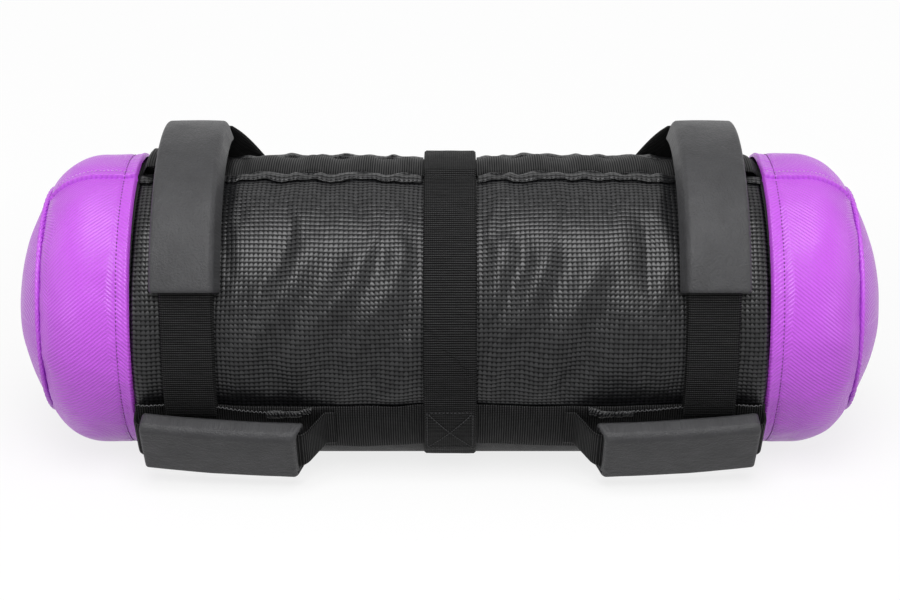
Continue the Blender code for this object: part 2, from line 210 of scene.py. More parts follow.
def relief(x, angle):
    """How far the filled cloth stands out of its round shape, in metres."""
    x_mm = x / MM
    mirrored = x_mm * np.where(angle > 90.0, -1.0, 1.0)
    arc = arc_mm(angle)
    below_top = arc_mm(TOP_ANGLE - LONG_HALF_ANGLE) - arc
    above_low = arc - arc_mm(LOWER_ANGLE + LONG_HALF_ANGLE)
    past_top = np.maximum(below_top, 0.0)
    from_seam = SEAM_X / MM - abs(x_mm)
    ring = past_rings(x_mm)

    height = (
        -1.1 * np.where(ring < 0.0, 1.0, hump(ring, 9.0))
        + 0.9 * smooth((ring - 6.0) / 40.0)
        - 1.8 * hump(from_seam, 5.0)
        - 1.6 * hump(past_top, 5.0) * (below_top > -30.0)
        - 1.2 * hump(above_low, 5.0)
    )
    gathers = 0.0
    for index, at in enumerate(GATHERS):
        lean = (0.10 + 0.16 * math.sin(index * 2.3)) * past_top
        size, width = 0.8 + 0.35 * math.sin(index * 3.1), 6.0 + 2.0 * math.sin(index * 1.9)
        gathers = gathers + size * hump(mirrored - at + lean, width)
    wave = 1.3 * np.cos(math.tau * (x_mm + 4.0 * np.sin(x_mm / 41.0)) / WAVE_LENGTH)
    between = (below_top > 0.0) & (above_low > 0.0)
    calm = smooth(ring / 12.0) * smooth(from_seam / 14.0)
    height = height + np.exp(-past_top / 34.0) * calm * np.where(between, 2.3 * gathers - 0.9, wave)

    for x0, a0, x1, a1, width, lift in FOLDS:
        s0, s1 = arc_mm(a0), arc_mm(a1)
        length = math.hypot(x1 - x0, s1 - s0)
        ux, us = (x1 - x0) / length, (s1 - s0) / length
        dx, ds = mirrored - x0, arc - s0
        along, across = dx * ux + ds * us, ds * ux - dx * us
        reach = smooth((along + 12.0) / 24.0) * smooth((length + 12.0 - along) / 24.0)
        height = height + lift * calm * reach * hump(across, width)

    height = height + 0.8 * calm * ripple((x_mm + 0.6 * arc) / 21.0, (arc - 0.5 * x_mm) / 55.0, 3.0)
    height = np.where(height < -2.0, -2.0 - 0.9 * np.tanh((-2.0 - height) / 0.9), height)
    under = np.maximum(smooth((-angle - 50.0) / 14.0) * (angle <= 90.0), smooth((angle - 230.0) / 14.0))
    return height * (1.0 - under) * MM


def on_body(x, angle, lift):
    """Points on the dressed body, round with a flattened bottom, lifted off its cloth."""
    x, angle, lift = np.broadcast_arrays(x, angle, lift)
    down = -np.sin(np.radians(angle))
    radius = np.minimum(RADIUS, AXIS_Z / np.maximum(down, 1e-6))
    points = out_of(angle) * (radius + relief(x, angle) + lift)[..., None]
    points[..., 0] = x
    points[..., 2] += AXIS_Z
    return points


# Lines and meshes

def unit(vectors):
    return vectors / np.linalg.norm(vectors, axis=-1, keepdims=True)


def distances(points):
    """How far along a line each of its points lies."""
    steps = np.linalg.norm(np.diff(points, axis=0), axis=1)
    return np.concatenate([[0.0], np.cumsum(steps)])


def at_lengths(at, along, values):
    """The rows of values at lengths along a line, between those that are known."""
    return np.stack([np.interp(at, along, values[:, k]) for k in range(3)], -1)


def resample(points, count):
    along = distances(points)
    return at_lengths(np.linspace(0.0, along[-1], count), along, points)


def soften(points, rounds=3):
    """Rounds the corners of a path, keeping its ends."""
    points = points.copy()
    for _ in range(rounds):
        points[1:-1] = 0.25 * points[:-2] + 0.5 * points[1:-1] + 0.25 * points[2:]
    return points


def face_outward(thing, hole=()):
    """Turns all faces outward, after closing the hole inside a ring of points."""
    bm = bmesh.new()
    bm.from_mesh(thing.data)
    bm.verts.ensure_lookup_table()
    if hole:
        bm.faces.new([bm.verts[index] for index in hole])
    bmesh.ops.recalc_face_normals(bm, faces=bm.faces)
    bm.to_mesh(thing.data)
    bm.free()
    thing.data.shade_smooth()


def make_object(name, vertices, faces, uvs):
    """A smooth mesh object with a cloth map in metres, given one (u, v) for each face corner."""
    mesh = bpy.data.meshes.new(name)
    mesh.from_pydata(vertices, [], faces)
    layer = mesh.uv_layers.new(name="cloth")
    layer.uv.foreach_set("vector", np.asarray(uvs, np.float32).ravel())
    thing = bpy.data.objects.new(name, mesh)
    bpy.context.scene.collection.objects.link(thing)
    face_outward(thing)
    return thing


def grid(name, points, u, v, round_rows=False, ends=True, swap=False):
    """A skin over points[row, column], closed round its columns, with cloth map values u and v.

    ends closes its two ends, and swap exchanges the two values of its cloth map.
    """
    u, v = (np.broadcast_to(values, points.shape[:2]) for values in (u, v))
    rows, columns = u.shape
    last_u = u[:, -1] + (u[:, -1] - u[:, -2])
    last_v = v[-1] + (v[-1] - v[-2])
    faces, uvs = [], []
    for i in range(rows if round_rows else rows - 1):
        i2 = (i + 1) % rows
        for j in range(columns):
            j2 = (j + 1) % columns
            faces.append((i * columns + j, i * columns + j2, i2 * columns + j2, i2 * columns + j))
            u_here, u_next = u[i, j], (u[i, j2] if j2 else last_u[i])
            v_here, v_next = v[i, j], (v[i2, j] if i2 else last_v[j])
            uvs += [(u_here, v_here), (u_next, v_here), (u_next, v_next), (u_here, v_next)]
    if ends:
        for i, way in ((0, -1), (rows - 1, 1)):
            faces.append(tuple(i * columns + j for j in range(columns))[::way])
            uvs += [(u[i, j], v[i, j]) for j in range(columns)][::way]
    uvs = np.array(uvs)[:, ::-1] if swap else uvs
    return make_object(name, points.reshape(-1, 3), faces, uvs)


def flat_section(across, half_width, rise):
    """A band's section as (across, up) pairs: flat below, its edges rounded, with a rise on top."""
    half = WEB / 2 * np.sqrt(np.maximum(1.0 - np.abs(across) ** 14, 0.0))
    top = np.stack([across * half_width, WEB / 2 + half + rise], -1)
    bottom = np.stack([across * half_width, WEB / 2 - half], -1)[::-1]
    return np.concatenate([top, bottom[1:-1]])


def band_section(half_width, count):
    """A webbing band's section, with slightly thick edges."""
    across = np.linspace(-1.0, 1.0, count)
    across = np.sign(across) * np.abs(across) ** 0.8
    return flat_section(across, half_width, 0.10 * WEB * hump(np.abs(across) - 0.93, 0.05))


def skin(centres, frames, section):
    """Points of a section set along centres. frames are its side and up directions at each."""
    sides, ups = frames
    return centres[:, None] + sides[:, None] * section[:, :1] + ups[:, None] * section[:, 1:]


def swept(name, centres, frames, section):
    points = skin(centres, frames, section)
    return grid(name, points, section[:, 0], distances(centres)[:, None])


def laid_band(name, x, angle, lift, section, relief_of, lengthwise=False):
    """Webbing laid on the body. x and angle give its middle line, and section its width."""
    across, up = section.T
    x, angle, lift = np.broadcast_arrays(x, angle, lift)
    spot_x, spot_angle = x[:, None], angle[:, None]
    if lengthwise:
        spot_angle = spot_angle + np.degrees(across / RADIUS)
    else:
        spot_x = spot_x + across
    height = lift[:, None] + up + relief_of(spot_x, spot_angle)
    points = on_body(spot_x, spot_angle, height)
    return grid(name, points, across, distances(on_body(x, angle, lift))[:, None])


def stitches(name, points, normals, pitch, length, radius, sink):
    """A row of thread stitches along a line."""
    along = distances(points)
    middles = (np.arange(int(along[-1] / pitch)) + 0.5) * pitch
    starts, ends = (at_lengths(middles + way * length / 2, along, points) for way in (-1, 1))
    return thread_pieces(name, starts, ends, at_lengths(middles, along, normals), radius, sink)


def thread_pieces(name, starts, ends, normals, radius, sink):
    """Short rounded pieces of thread from starts to ends, part sunk in the cloth."""
    vertices, faces, uvs = [], [], []
    for start, end, normal in zip(starts, ends, normals):
        middle, half = (start + end) / 2, (end - start) / 2
        length = 2.0 * np.linalg.norm(half)
        side, up = unit(np.cross(half, normal)), unit(normal)
        base = len(vertices)
        for step, scale in THREAD_PROFILE:
            dip = radius * (1.0 - sink) - radius * 0.9 * step * step
            for k in range(THREAD_SIDES):
                turn = math.tau * k / THREAD_SIDES
                spot = middle + half * step + side * (radius * scale * math.cos(turn))
                vertices.append(spot + up * (dip + radius * scale * math.sin(turn)))
        rings = np.arange(base, len(vertices)).reshape(-1, THREAD_SIDES).tolist()
        for low, high in zip(rings[:-1], rings[1:]):
            for k in range(-1, THREAD_SIDES - 1):
                faces.append((low[k], low[k + 1], high[k + 1], high[k]))
                uvs += [(0.0, 0.0), (radius, 0.0), (radius, length), (0.0, length)]
        faces += [rings[0][::-1], rings[-1]]
        uvs += [(0.0, 0.0)] * (2 * THREAD_SIDES)
    return make_object(name, vertices, faces, uvs)


def dress(piece, material, node=None, body="bag"):
    """Puts a finished piece on its body, in place of its CAD node."""
    piece.data.materials.append(material)
    if node:
        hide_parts(node)
    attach(piece, body)


# Materials

class Nodes:
    """A small helper that writes the node tree of a material or a world."""

    def __init__(self, owner):
        owner.use_nodes = True
        self.owner = owner
        self.tree = owner.node_tree

    def put(self, socket, value):
        if isinstance(value, bpy.types.NodeSocket):
            self.tree.links.new(value, socket)
        else:
            socket.default_value = value

    def fill(self, node, values):
        for name, value in values.items():
            self.put(node.inputs[name], value)

    def new(self, kind, *values, **settings):
        """A node with its settings made and its first inputs filled."""
        node = self.tree.nodes.new("ShaderNode" + kind)
        for name, value in settings.items():
            setattr(node, name, value)
        for socket, value in zip(node.inputs, values):
            self.put(socket, value)
        return node

    def math(self, operation, *values):
        return self.new("Math", *values, operation=operation).outputs[0]

    def add(self, a, b):
        return self.math("ADD", a, b)

    def sub(self, a, b):
        return self.math("SUBTRACT", a, b)

    def mul(self, a, b):
        return self.math("MULTIPLY", a, b)

    def sine(self, value, pitch):
        return self.math("SINE", self.mul(value, math.tau / pitch))

    def wave(self, value, pitch):
        """A sine wave from 0 to 1."""
        return self.math("MULTIPLY_ADD", self.sine(value, pitch), 0.5, 0.5)

    def remap(self, *values, steps="LINEAR"):
        """Takes a value, its lowest and highest, and what they become: 0 and 1 if not given."""
        return self.new("MapRange", *values, interpolation_type=steps).outputs[0]

    def mix(self, share, dark, light):
        node = self.new("Mix", share, data_type="RGBA")
        for socket, value in ((node.inputs[6], dark), (node.inputs[7], light)):
            self.put(socket, (*value, 1.0) if isinstance(value, tuple) else value)
        return node.outputs[2]


class Cloth(Nodes):
    """A fabric's material, whose patterns follow the cloth map in metres."""

    def __init__(self, name):
        super().__init__(bpy.data.materials.new(name))
        self.map = self.new("UVMap", uv_map="cloth").outputs[0]
        self.u, self.v = self.new("SeparateXYZ", self.map).outputs[:2]

    def scaled(self, second):
        """The cloth map with its second value scaled."""
        node = self.new("Mapping", self.map)
        self.fill(node, {"Scale": (1.0, second, 1.0)})
        return node.outputs[0]

    def noise(self, scale, detail, roughness=0.5, vector=None):
        node = self.new("TexNoise", vector or self.map)
        self.fill(node, {"Scale": scale, "Detail": detail, "Roughness": roughness})
        return node.outputs["Fac"]

    def cell(self, across, up):
        """A steady random value for each cell of a pattern."""
        corner = self.new("CombineXYZ", self.math("FLOOR", across), self.math("FLOOR", up))
        node = self.new("TexWhiteNoise", corner.outputs[0], noise_dimensions="2D")
        return node.outputs["Value"]

    def done(self, colour, roughness, specular, height, rise):
        """Fills the shader: height is the bump's relief, and rise its depth in metres."""
        bump = self.new("Bump")
        self.fill(bump, {"Strength": 1.0, "Distance": rise, "Height": height})
        self.fill(self.tree.nodes["Principled BSDF"], {
            "Base Color": colour, "Roughness": roughness,
            "Specular IOR Level": specular, "Normal": bump.outputs[0],
        })
        return self.owner


def basket_fabric():
    """Coated basket weave: rows of bars with rounded teeth and gaps between them, its colour carrying
    painted shade in the gaps and a painted highlight on the bars' crowns.
    """
    n = Cloth("basket_fabric")
    lean = n.remap(n.noise(16.0, 1.0), 0.35, 0.65, -0.34, 0.34)
    sway = n.mul(n.sub(n.noise(11.0, 2.0), 0.5), 1.6)
    row = n.add(n.math("DIVIDE", n.v, 3.4 * MM), sway)
    b = n.math("FRACT", row)
    column = n.add(n.math("DIVIDE", n.u, 3.3 * MM), n.mul(lean, b))
    a = n.math("ABSOLUTE", n.sub(n.math("FRACT", column), 0.5))
    narrowing = n.mul(n.math("POWER", n.remap(b, 0.22, 1.0), 1.3), 0.50)
    inside = n.sub(n.sub(0.62, narrowing), a)
    cover = n.remap(inside, -0.07, 0.12, steps="SMOOTHSTEP")
    dome = n.math("MAXIMUM", n.sub(1.0, n.mul(n.mul(a, a), 4.0)), 0.0)
    arch = n.math("SINE", n.mul(n.math("POWER", n.remap(b, 0.0, 1.0, 0.02, 0.95), 0.72), math.pi))
    height = n.mul(n.math("MULTIPLY_ADD", dome, 0.35, 0.65), n.math("POWER", arch, 0.8))
    height = n.mul(n.mul(height, cover), n.remap(n.cell(column, row), 0.0, 1.0, 0.72, 1.08))
    patches = n.noise(30.0, 3.0, 0.6)
    rise = n.add(n.mul(height, n.remap(patches, 0.3, 0.7, 0.8, 1.0)), n.mul(n.noise(1100.0, 2.0), 0.08))
    # Painted shade and highlight: the colour follows the bars' height, near black in the gaps and lightest
    # on each bar's crown; the patches vary it at random.
    tone = n.mul(n.math("POWER", height, 1.3), n.remap(patches, 0.3, 0.7, 0.75, 1.1))
    colour = n.mix(tone, (0.0006, 0.0006, 0.0008), (0.0065, 0.0067, 0.0078))
    gloss = n.remap(height, 0.1, 0.85, 0.11, 0.53)
    return n.done(colour, n.remap(height, 0.2, 0.9, 0.42, 0.35), gloss, rise, 0.40 * MM)


def plain_fabric():
    """Smooth coated cloth of the underside, below the lower straps."""
    n = Cloth("plain_fabric")
    weave = n.math("MULTIPLY_ADD", n.mul(n.sine(n.u, 0.9 * MM), n.sine(n.v, 0.9 * MM)), 0.5, 0.5)
    scuffs = n.noise(35.0, 4.0, 0.65)
    colour = n.mix(n.remap(scuffs, 0.35, 0.75), (0.006, 0.006, 0.0065), (0.016, 0.016, 0.017))
    return n.done(colour, n.remap(scuffs, 0.3, 0.7, 0.50, 0.66), 0.22, weave, 0.12 * MM)


def hem_fabric():
    """The rolled hem: slanted strands twisted round a bead, glossy on top."""
    n = Cloth("hem_fabric")
    slant = n.add(n.math("DIVIDE", n.v, 2.3 * MM), n.math("DIVIDE", n.u, 4.0 * MM))
    strand = n.wave(n.add(slant, n.mul(n.noise(150.0, 3.0), 3.0)), 1.0)
    fuzz = n.noise(1300.0, 3.0, 0.6)
    # Painted shade and highlight: the colour follows the strands' height, dark between strands and light on
    # their crowns; the fuzz varies it at random.
    tone = n.mul(n.math("POWER", strand, 1.5), n.remap(fuzz, 0.35, 0.65, 0.5, 1.2))
    colour = n.mix(tone, (0.0012, 0.0012, 0.0014), (0.020, 0.020, 0.0215))
    return n.done(colour, 0.36, 0.45, n.add(strand, n.mul(fuzz, 0.4)), 0.45 * MM)


def twill_fabric():
    """Coloured coated cloth with a fine embossed herringbone twill."""
    n = Cloth("twill_fabric")
    pitch, zone = 3.0 * MM, 100 * MM
    slope = n.mul(n.v, 0.8)
    rising, falling = n.wave(n.add(n.u, slope), pitch), n.wave(n.sub(n.u, slope), pitch)
    along = n.math("MULTIPLY_ADD", n.v, math.tau / zone, -1.6)
    turn = n.math("MULTIPLY_ADD", n.noise(12.0, 2.0), 1.6, along)
    share = n.remap(n.math("SINE", turn), -0.10, 0.10, 0.12, 0.88, steps="SMOOTHSTEP")
    twill = n.add(n.mul(rising, share), n.mul(falling, n.sub(1.0, share)))
    height = n.add(twill, n.mul(n.noise(1400.0, 2.0), 0.25))
    worn = n.remap(n.noise(14.0, 3.0, 0.6), 0.3, 0.7)
    base = n.mix(worn, (0.530, 0.100, 0.735), (0.570, 0.113, 0.780))
    # Painted shade: the colour turns a deeper purple in the twill's grooves, where its height is low.
    colour = n.mix(n.mul(n.sub(1.0, twill), 0.50), base, (0.34, 0.045, 0.48))
    return n.done(colour, n.remap(twill, 0.0, 1.0, 0.34, 0.25), 0.40, height, 0.30 * MM)


def webbing(name, rise, gloss):
    """Black ribbed webbing: ribs across its run, crossed by fine warp lines."""
    n = Cloth(name)
    rib, warp = n.wave(n.v, 1.7 * MM), n.wave(n.u, 1.5 * MM)
    fuzz = n.noise(1600.0, 2.0)
    streak = n.noise(60.0, 2.0, 0.5, n.scaled(12.0))
    height = n.add(n.add(n.mul(rib, 0.8), n.mul(warp, 0.35)), n.mul(fuzz, 0.3))
    # lit is painted light: a painted highlight on the ribs' crowns and painted shade between ribs and
    # between warp lines; the streaks vary it at random.
    lit = n.mul(n.mul(rib, n.remap(warp, 0.0, 1.0, 0.45, 1.0)), n.remap(streak, 0.3, 0.7, 0.75, 1.15))
    colour = n.mix(lit, (0.0018, 0.0018, 0.0019), (0.036, 0.036, 0.0365))
    return n.done(colour, 0.56, n.remap(lit, 0.1, 0.8, 0.02, gloss), height, rise)


def soft_leather():
    """Charcoal synthetic leather of the grips: pebbled grain, paler and glossier in random patches, like
    leather that hands have rubbed.
    """
    n = Cloth("soft_leather")
    pebbles = n.noise(620.0, 3.0, 0.62)
    creases = n.noise(230.0, 3.0, 0.6, n.scaled(0.45))
    mottle = n.noise(40.0, 4.0, 0.6)
    tone = n.add(n.remap(mottle, 0.3, 0.7, 0.0, 0.7), n.remap(pebbles, 0.35, 0.65, 0.0, 0.3))
    colour = n.mix(tone, (0.030, 0.030, 0.0318), (0.048, 0.048, 0.0506))
    height = n.add(n.mul(pebbles, 0.8), creases)
    return n.done(colour, n.remap(mottle, 0.3, 0.7, 0.48, 0.40), 0.26, height, 0.75 * MM)


def thread(name, colour):
    n = Cloth(name)
    twist = n.wave(n.add(n.u, n.v), 0.5 * MM)
    # Painted shade: the colour darkens to half in the grooves of the twist.
    dark = tuple(value * 0.5 for value in colour)
    return n.done(n.mix(twist, dark, colour), 0.6, 0.4, twist, 0.05 * MM)


def plain_inside(name, colour):
    """Foam or canvas inside the bag, which only shows if it is opened."""
    n = Cloth(name)
    pores = n.noise(500.0, 3.0, 0.6, n.new("TexCoord").outputs["Object"])
    dark = tuple(value * 0.8 for value in colour)
    return n.done(n.mix(pores, dark, colour), 0.9, 0.2, pores, 0.3 * MM)


BASKET = basket_fabric()
PLAIN = plain_fabric()
HEM = hem_fabric()
TWILL = twill_fabric()
WEBBING = webbing("webbing", 0.32 * MM, 0.11)
SMOOTH_WEBBING = webbing("smooth_webbing", 0.05 * MM, 0.20)
LEATHER = soft_leather()
GREY_THREAD = thread("grey_thread", (0.16, 0.16, 0.165))
BOX_THREAD = thread("box_thread", (0.030, 0.030, 0.032))
PURPLE_THREAD = thread("purple_thread", (0.16, 0.04, 0.22))
LILAC_THREAD = thread("lilac_thread", (0.80, 0.48, 0.92))


# The bag

CLOTH_SETTINGS = {
    "quality": 5, "mass": 0.3, "tension_stiffness": 25.0, "compression_stiffness": 25.0,
    "shear_stiffness": 8.0, "bending_stiffness": 0.6, "use_pressure": True,
    "uniform_pressure_force": 4.0, "shrink_min": -0.015, "vertex_group_mass": "held",
}
CLOTH_FRAMES = 20
MOST_PRESSED = 2.4 * MM


def body_cloth():
    """The basket-weave sleeve, tucked in at both seams and pressed out by its filling."""
    inner = np.linspace(-SEAM_X + 4 * MM, SEAM_X - 4 * MM, 118)
    tuck = np.array([0.2, 0.9, 2.2]) * MM
    x = np.concatenate([-SEAM_X + tuck, inner, SEAM_X - tuck[::-1]])[:, None]
    drop = np.zeros_like(x)
    drop[:3, 0] = np.array([-3.2, -1.6, -0.5]) * MM
    drop[-3:] = drop[2::-1]
    angle = -90.0 + np.arange(160) * 2.25
    points = on_body(x, angle, drop)
    points[..., 2] = np.maximum(points[..., 2], 0.0)
    cloth = grid("body_cloth", points, np.radians(angle) * RADIUS, x, ends=False, swap=True)
    press_out(cloth, loose_share(x, angle).ravel())
    refine(cloth)
    dress(cloth, BASKET, "body_shell")
    cloth.data.materials.append(PLAIN)
    under = math.sin(math.radians(LOWER_ANGLE - LONG_HALF_ANGLE + 1.0)) * RADIUS + AXIS_Z
    for face in cloth.data.polygons:
        if face.center.z < under:
            face.material_index = 1


def loose_share(x, angle):
    """How free the body cloth is to move: 0 where a strap or seam holds it, 1 well away."""
    x_mm, arc = np.abs(x) / MM, arc_mm(angle)
    from_top = arc_mm(TOP_ANGLE - LONG_HALF_ANGLE - 4.0) - arc
    from_low = arc - arc_mm(LOWER_ANGLE + LONG_HALF_ANGLE)
    room = np.minimum(np.minimum(past_rings(x_mm), SEAM_X / MM - x_mm), np.minimum(from_top, from_low))
    return smooth((room - 2.0) / 12.0)


def evaluated(thing):
    return thing.evaluated_get(bpy.context.evaluated_depsgraph_get())


def coordinates(mesh):
    spots = np.empty(len(mesh.vertices) * 3)
    mesh.vertices.foreach_get("co", spots)
    return spots.reshape(-1, 3)


def press_out(thing, loose):
    """Lets cloth give under the pressure of its filling, by its loose share at each point."""
    scene = bpy.context.scene
    held = thing.vertex_groups.new(name="held")
    for index, share in enumerate(loose):
        if share < 0.999:
            held.add([index], float(1.0 - share), "REPLACE")
    start = coordinates(thing.data)
    cloth = thing.modifiers.new("cloth", "CLOTH")
    for name, value in CLOTH_SETTINGS.items():
        setattr(cloth.settings, name, value)
    cloth.settings.effector_weights.gravity = 0.0
    cloth.collision_settings.use_collision = False
    cloth.point_cache.frame_start = 1
    cloth.point_cache.frame_end = CLOTH_FRAMES
    for step in range(CLOTH_FRAMES):
        scene.frame_set(step + 1)
    shift = coordinates(evaluated(thing).data) - start
    length = np.linalg.norm(shift, axis=1)
    limit = MOST_PRESSED * np.tanh(length / MOST_PRESSED) / np.maximum(length, 1e-9)
    thing.modifiers.remove(cloth)
    thing.vertex_groups.remove(held)
    scene.frame_set(1)
    thing.data.vertices.foreach_set("co", (start + shift * (limit * loose)[:, None]).ravel())
    thing.data.update()


def refine(thing):
    """One subdivision of a cloth mesh, with its map kept."""
    finer = thing.modifiers.new("finer", "SUBSURF")
    finer.levels = finer.render_levels = 1
    finer.uv_smooth = "PRESERVE_BOUNDARIES"
    mesh = bpy.data.meshes.new_from_object(evaluated(thing))
    thing.modifiers.remove(finer)
    thing.data = mesh
    mesh.shade_smooth()


def band_profile(run):
    """The coloured band's profile at distances past the seam: x, radius, and the way out."""
    turn = np.maximum(run - BAND_STRAIGHT, 0.0) / SHOULDER_RADIUS
    x = SEAM_X + np.minimum(run, BAND_STRAIGHT) + SHOULDER_RADIUS * np.sin(turn)
    return x, CAP_RADIUS - SHOULDER_RADIUS * (1.0 - np.cos(turn)), np.sin(turn), np.cos(turn)


def disc_profile(run):
    """The end disc's profile at distances in from the rim: x, radius, and the way out."""
    turn = DISC_TURN - run / DISC_RADIUS
    x = BAG_END_X - DISC_RADIUS * (1.0 - np.cos(turn))
    return x, DISC_RADIUS * np.sin(turn), np.cos(turn), np.sin(turn)


def end_points(profile, angle, lift, sign):
    """Points of a bag end at a profile and angles, lifted off its surface."""
    x, radius, nx, nr = profile
    points = out_of(angle) * (radius + nr * lift)[..., None] + [0.0, 0.0, CAP_AXIS_Z]
    points[..., 0] = sign * (x + nx * lift)
    return points


def band_relief(run, angle, sign):
    """The soft relief of a coloured band: rolled edge, stitched groove, lap and puckers."""
    run = run / MM
    to_rim = BAND_LENGTH / MM - run
    from_row = run - SEAM_STITCH_RUN / MM
    lap = np.radians(angle - LAP_ANGLE) * CAP_RADIUS / MM
    pucker = np.sin(angle * 1.31 + 2.0 * np.sin(angle * 0.11)) * np.sin(angle * 0.37 + 1.0)
    wander = 0.5 * np.sin(angle * 0.21 + sign)
    height = (
        0.9 * hump(run - 2.4, 1.9) - 2.4 * hump(run + 0.4, 1.1)
        - 0.55 * hump(from_row, 1.5) - 0.25 * hump(from_row, 4.0)
        - 2.3 * hump(to_rim - 2.4, 1.8) - 0.5 * hump(to_rim, 5.0)
        + 0.35 * pucker * (hump(to_rim, 8.0) + 0.8 * hump(from_row, 6.0))
        + 0.7 * ripple(run / 15.0 + wander, angle / 8.0, 5.0 + sign)
    )
    covers = smooth((to_rim - 4.0) / 8.0)
    edge = 1.3 * smooth((lap + 0.1) / 0.5) * np.exp(-np.maximum(lap, 0.0) / 18.0)
    edge = edge + 0.6 * hump(lap - 1.1, 0.8)
    crease = -1.5 * hump(lap + 0.7, 0.8) - 0.45 * hump(lap - LAP_STITCH_RISE / MM, 1.3)
    return (height + covers * (edge + crease)) * MM


def disc_relief(run, angle, sign):
    """The soft relief of an end disc: pulled in at the rim, slightly puckered."""
    run = run / MM
    from_middle = DISC_LENGTH / MM - run
    across, up = from_middle * np.cos(np.radians(angle)), from_middle * np.sin(np.radians(angle))
    pucker = np.sin(angle * 1.07 + 1.5 * np.sin(angle * 0.09)) * np.sin(angle * 0.29 + 2.0)
    swell = 0.6 * smooth(run / 12.0) * ripple(across / 17.0, up / 17.0, 8.0 + sign)
    return (-1.2 * hump(run, 2.2) + 0.4 * pucker * hump(run, 9.0) + swell) * MM


def cap_cloth(side):
    """The coloured band with its rounded shoulder, and the domed disc."""
    near_lap = LAP_ANGLE + np.linspace(-2.6, 7.0, 60)
    angle = np.unique(np.round(np.concatenate([-90.0 + np.arange(320) * 1.125, near_lap]), 3))
    edge, shoulder = np.linspace(0.0, 14 * MM, 22), np.linspace(14 * MM, BAND_LENGTH - 6 * MM, 30)
    runs = np.concatenate([edge[:-1], shoulder, BAND_LENGTH + np.linspace(-5, 0, 9) * MM])
    band = end_cloth(f"cap_cloth_{side}", band_profile, band_relief, runs, angle, SIDES[side])
    dress(band, TWILL, f"cap_band_{side}")
    rim, inner = np.linspace(0, 6, 10) * MM, np.linspace(6 * MM, DISC_LENGTH - 2 * MM, 40)
    runs = np.concatenate([rim[:-1], inner])
    disc = end_cloth(f"disc_cloth_{side}", disc_profile, disc_relief, runs, angle, SIDES[side])
    face_outward(disc, range((len(runs) - 1) * len(angle), len(runs) * len(angle)))
    flat_map(disc)
    dress(disc, TWILL, f"end_disc_{side}")


def end_cloth(name, profile, relief_of, runs, angle, sign):
    runs = runs[:, None]
    points = end_points(profile(runs), angle, relief_of(runs, angle, sign), sign)
    points[..., 2] = np.maximum(points[..., 2], 0.3 * MM)
    cloth = grid(name, points, np.radians(angle) * CAP_RADIUS, runs, ends=False)
    return cloth


def flat_map(thing):
    """Sets the cloth map to each point's place across and up, seen along the bag."""
    corners = np.empty(len(thing.data.loops), np.int32)
    thing.data.loops.foreach_get("vertex_index", corners)
    flat = coordinates(thing.data)[corners, 1:]
    thing.data.uv_layers["cloth"].uv.foreach_set("vector", flat.astype(np.float32).ravel())


def rim_welt(side):
    """The corded welt round the rim, between band and disc."""
    sign = SIDES[side]
    angle = np.arange(320) * 1.125
    profile = disc_profile(0.0)
    middle = end_points(profile, angle, 0.3 * MM + 0.15 * MM * np.sin(angle * 1.31), sign)
    radius, nx, nr = profile[1:]
    out, outward = out_of(angle), ALONG_X * sign
    frames = outward * nr - out * nx, outward * nx + out * nr
    turn = np.linspace(0, math.tau, 12, False)
    points = skin(middle, frames, WELT_RADIUS * np.stack([np.cos(turn), np.sin(turn)], -1))
    along = np.radians(angle)[:, None] * radius
    welt = grid(f"rim_welt_{side}", points, turn * WELT_RADIUS, along, round_rows=True, ends=False)
    dress(welt, TWILL, f"rim_piping_{side}")


def cap_stitches(side):
    """The topstitching beside the seam, and the row above the lap."""
    sign = SIDES[side]
    past_lap = LAP_ANGLE + math.degrees(LAP_STITCH_RISE / CAP_RADIUS)
    along_lap = np.linspace(3 * MM, BAND_LENGTH - 14 * MM, 60)
    for name, run, angle, length, radius, sink, material in (
        ("seam", SEAM_STITCH_RUN, np.arange(-90.0, 270.1, 1.0), 1.9, 0.36, 0.5, PURPLE_THREAD),
        ("lap", along_lap, past_lap, 2.0, 0.42, 0.35, LILAC_THREAD),
    ):
        run, angle = np.broadcast_arrays(run, angle)
        profile = band_profile(run)
        line = end_points(profile, angle, band_relief(run, angle, sign), sign)
        normals = out_of(angle) * profile[3][:, None]
        normals[:, 0] = sign * profile[2]
        row = stitches(f"{name}_stitches_{side}", line, normals, 3.0 * MM, length * MM, radius * MM, sink)
        dress(row, material)


# Webbing on the bag

def strap_lift(x):
    """How far the top strap stands off the bag: it loops up beside the arched handles."""
    height = np.where(x < 0.0, 7.8, 3.5) * MM
    from_seam = SEAM_X - np.abs(x)
    loop = smooth((from_seam - 0.6 * MM) / (6 * MM)) * smooth((22 * MM - from_seam) / (9 * MM))
    return 0.3 * MM + height * loop


def top_strap_waves(x, angle):
    """The top strap is pulled into soft waves across its run."""
    across = (angle - TOP_ANGLE) / LONG_HALF_ANGLE
    wave = np.sin(x / MM / 2.1 + 2.0 * np.sin(x / MM / 31.0) + 0.4 * across)
    wave = wave * (0.6 + 0.4 * np.sin(x / MM / 9.7)) + 0.5 * np.sin(x / MM / 5.3 + 0.5 * across)
    return (0.50 * wave - 0.3) * MM * smooth((1.2 - np.abs(across)) / 0.6)


def strap_wear(x, angle):
    """Slight unevenness of webbing that is pulled over a filled bag."""
    return 0.25 * MM * ripple(x / MM / 9.0, angle / 5.0, 2.0)


def centre_strap_wear(x, angle):
    """As strap_wear, with the crease that crosses the centre strap at the front."""
    start, end = np.array([-19.0, 19.0]), np.array([17.0, -20.0])
    spot = np.stack(np.broadcast_arrays(x / MM, arc_mm(angle)), -1) - start
    run = unit(end - start)
    off = spot[..., 1] * run[0] - spot[..., 0] * run[1]
    crease = 0.5 * hump(off - 1.8, 1.5) - 0.9 * hump(off, 1.1)
    return strap_wear(x, angle) + crease * MM * (angle < 60.0)


